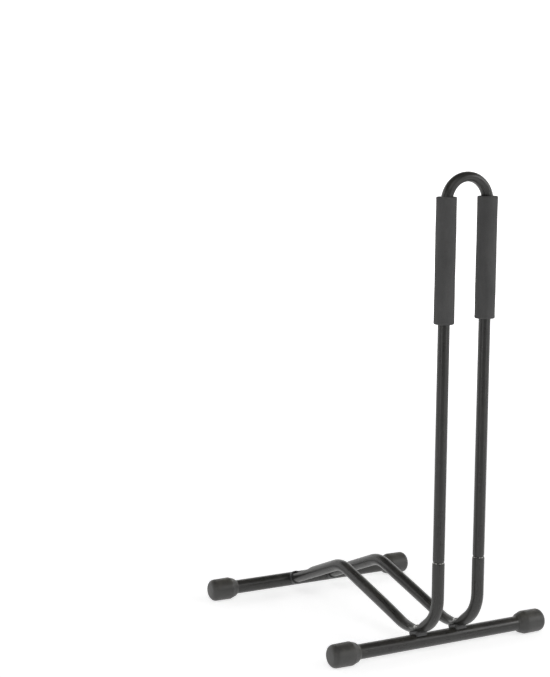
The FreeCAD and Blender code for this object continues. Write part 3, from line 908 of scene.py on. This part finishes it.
def make_collar(side, place):
    """Moulded cup round the rear end of a rail, hollowed below to the foot bar."""
    shape = Drawn(72)
    outer = RAIL_R + COLLAR_WALL
    inner = RAIL_R + 0.05
    rim = FOOT_R + SADDLE_CROWN + COLLAR_GRIP
    low = FOOT_R - SADDLE_DROP

    def on_bar(radius):
        """Height of the foot bar's surface under a point of this radius."""
        def rise(angle):
            reach = min(radius * abs(math.sin(angle)), FOOT_R)
            return max(low, math.sqrt(FOOT_R ** 2 - reach ** 2))
        return rise

    rings = [(0.0, inner, on_bar(inner)), (0.0, outer - 0.4, on_bar(outer - 0.4)),
             (0.4, outer, on_bar(outer)), (rim - 0.9, outer, None), (rim - 0.45, outer - 0.12, None),
             (rim - 0.12, outer - 0.45, None), (rim, outer - 0.9, None), (rim, inner + 0.3, None),
             (rim - 0.3, inner, None), (0.0, inner, on_bar(inner))]
    for level, radius, rise in rings:
        shape.ring(place @ Matrix.Translation((0.0, 0.0, level)), radius, along=level, rise=rise)
    bmesh.ops.remove_doubles(shape.bm, verts=shape.bm.verts, dist=0.001)
    finish_piece(shape.bm, "rail_collar_" + side, SADDLE_PLASTIC, "base",
                 ["saddle_rear_" + side], sharp=40.0)


make_hoop()
for side, x in SIDES.items():
    make_sleeve(side, x)
    make_rail(side, x)
for side, place in zip(SIDES, join_places("front")):
    make_saddle(side, place)
for side, place in zip(SIDES, join_places("rear")):
    make_collar(side, place)
for end, y in (("front", FRONT_Y), ("rear", REAR_Y)):
    make_foot_tube(end, y)
    for side, direction in (("left", -1.0), ("right", 1.0)):
        make_cap(end, side, direction, y)
make_fasteners("front", FOOT_R + SADDLE_CROWN + PRESSED_HEIGHT)
make_fasteners("rear", FOOT_R + SADDLE_CROWN + LUG_HEIGHT)


# ---------------------------------------------------------------- floor, lamps, camera

# The photograph's camera: its place in metres, its turns about Z, up from the floor and about
# its own axis, and its lens in pixels of the photograph, whose longer side is its height.
VIEW_PLACE = (-1.3881, -2.1124, 0.7940)
VIEW_AZIMUTH = math.radians(-29.507)
VIEW_ELEVATION = math.radians(8.604)
VIEW_ROLL = math.radians(0.379)
PHOTO_HEIGHT = 677.0
FOCAL_PIXELS = 1626.5
SHIFT_PIXELS = 25.4
SENSOR_WIDTH = 36.0
AWAY = (-math.sin(VIEW_AZIMUTH), math.cos(VIEW_AZIMUTH), 0.0)


def grey(level):
    return (level, level, level, 1.0)


def make_backdrop():
    """Pale round floor that curves up into a low wall on all sides; one profile, spun."""
    floor_r = 5.0
    curve_r = 1.5
    wall_top = 5.0
    bm = bmesh.new()
    centre = bm.verts.new((0.0, 0.0, 0.0))
    edge = bm.verts.new((floor_r, 0.0, 0.0))
    bm.edges.new((centre, edge))
    bmesh.ops.spin(bm, geom=[edge], cent=(floor_r, 0.0, curve_r), axis=(0.0, -1.0, 0.0),
                   angle=math.pi / 2, steps=16, use_duplicate=False)
    top = max(bm.verts, key=lambda vert: (vert.co.z, vert.co.x))
    raised = bmesh.ops.extrude_vert_indiv(bm, verts=[top])["verts"]
    bmesh.ops.translate(bm, vec=(0.0, 0.0, wall_top - curve_r), verts=raised)
    bmesh.ops.spin(bm, geom=bm.verts[:] + bm.edges[:], cent=(0.0, 0.0, 0.0),
                   axis=(0.0, 0.0, 1.0), angle=math.tau, steps=96, use_merge=True)
    bmesh.ops.remove_doubles(bm, verts=bm.verts, dist=0.0001)
    bmesh.ops.recalc_face_normals(bm, faces=bm.faces)
    mesh = bpy.data.meshes.new("backdrop")
    bm.to_mesh(mesh)
    bm.free()
    mesh.polygons.foreach_set("use_smooth", [True] * len(mesh.polygons))
    backdrop = bpy.data.objects.new("backdrop", mesh)
    scene.collection.objects.link(backdrop)
    material, build, shader = new_material("pale_backdrop")
    # Painted light: the lit part under and behind the rack is a painted pool of light in the
    # backdrop's colour and glow; towards the camera the painted light falls off.
    position = object_position(build)
    along_view = build.add("ShaderNodeVectorMath", {0: position, 1: AWAY},
                           operation="DOT_PRODUCT").outputs["Value"]
    lit = build.ramp(along_view, -2.2, -0.7)
    tone = build.mix_color(lit, grey(0.40), grey(0.74))
    glow = build.mix_color(lit, grey(0.30), grey(1.0))
    # Seen straight from the camera, the far part is plain white from every side.
    distance = build.add("ShaderNodeVectorMath", {0: position},
                         operation="LENGTH").outputs["Value"]
    seen = build.add("ShaderNodeLightPath").outputs["Is Camera Ray"]
    plain = build.math("MULTIPLY", seen, build.ramp(distance, 1.3, 2.6))
    glow = build.mix_color(plain, glow, grey(1.55))
    build.tree.links.new(tone, shader.inputs["Base Color"])
    build.tree.links.new(glow, shader.inputs["Emission Color"])
    shader.inputs["Roughness"].default_value = 0.95
    shader.inputs["Specular IOR Level"].default_value = 0.0
    shader.inputs["Emission Strength"].default_value = 0.66
    mesh.materials.append(material)


def make_world():
    """Dim studio ceiling over the pale wall."""
    world = bpy.data.worlds.new("studio")
    scene.world = world
    world.use_nodes = True
    background = next(node for node in world.node_tree.nodes if node.type == "BACKGROUND")
    background.inputs["Color"].default_value = grey(1.0)
    background.inputs["Strength"].default_value = 0.12


def add_lamp(name, place, aim, size, power):
    data = bpy.data.lights.new(name, "AREA")
    data.shape = "RECTANGLE"
    data.size, data.size_y = size
    data.energy = power
    lamp = bpy.data.objects.new(name, data)
    scene.collection.objects.link(lamp)
    lamp.location = place
    lamp.rotation_euler = (Vector(aim) - Vector(place)).to_track_quat("-Z", "Y").to_euler()


def make_camera():
    """Camera of the photograph: place, turn, lens and the shift of its frame."""
    back = Vector((math.sin(VIEW_AZIMUTH) * math.cos(VIEW_ELEVATION),
                   -math.cos(VIEW_AZIMUTH) * math.cos(VIEW_ELEVATION), math.sin(VIEW_ELEVATION)))
    right = Vector((math.cos(VIEW_AZIMUTH), math.sin(VIEW_AZIMUTH), 0.0))
    up = back.cross(right)
    right_rolled = right * math.cos(VIEW_ROLL) + up * math.sin(VIEW_ROLL)
    up_rolled = up * math.cos(VIEW_ROLL) - right * math.sin(VIEW_ROLL)
    data = bpy.data.cameras.new("camera")
    data.sensor_fit = "AUTO"
    data.sensor_width = SENSOR_WIDTH
    data.lens = FOCAL_PIXELS / PHOTO_HEIGHT * SENSOR_WIDTH
    data.shift_y = SHIFT_PIXELS / PHOTO_HEIGHT
    data.clip_end = 100.0
    camera = bpy.data.objects.new("camera", data)
    scene.collection.objects.link(camera)
    turn = Matrix((right_rolled, up_rolled, back)).transposed().to_4x4()
    camera.matrix_world = Matrix.Translation(VIEW_PLACE) @ turn
    scene.camera = camera


make_backdrop()
make_world()
add_lamp("high_front", (-0.9, -1.9, 3.0), (0.0, 0.0, 0.3), (2.2, 2.2), 16.0)
add_lamp("left_strip", (-2.35, -1.12, 0.82), (0.0, -0.1, 0.82), (0.30, 1.6), 7.0)
add_lamp("right_strip", (0.78, -2.48, 0.82), (0.0, -0.1, 0.82), (0.26, 1.6), 6.0)
add_lamp("right_soft", (2.1, -2.0, 1.5), (0.0, 0.0, 0.4), (0.7, 1.3), 14.0)
make_camera()
scene.view_settings.view_transform = "Standard"
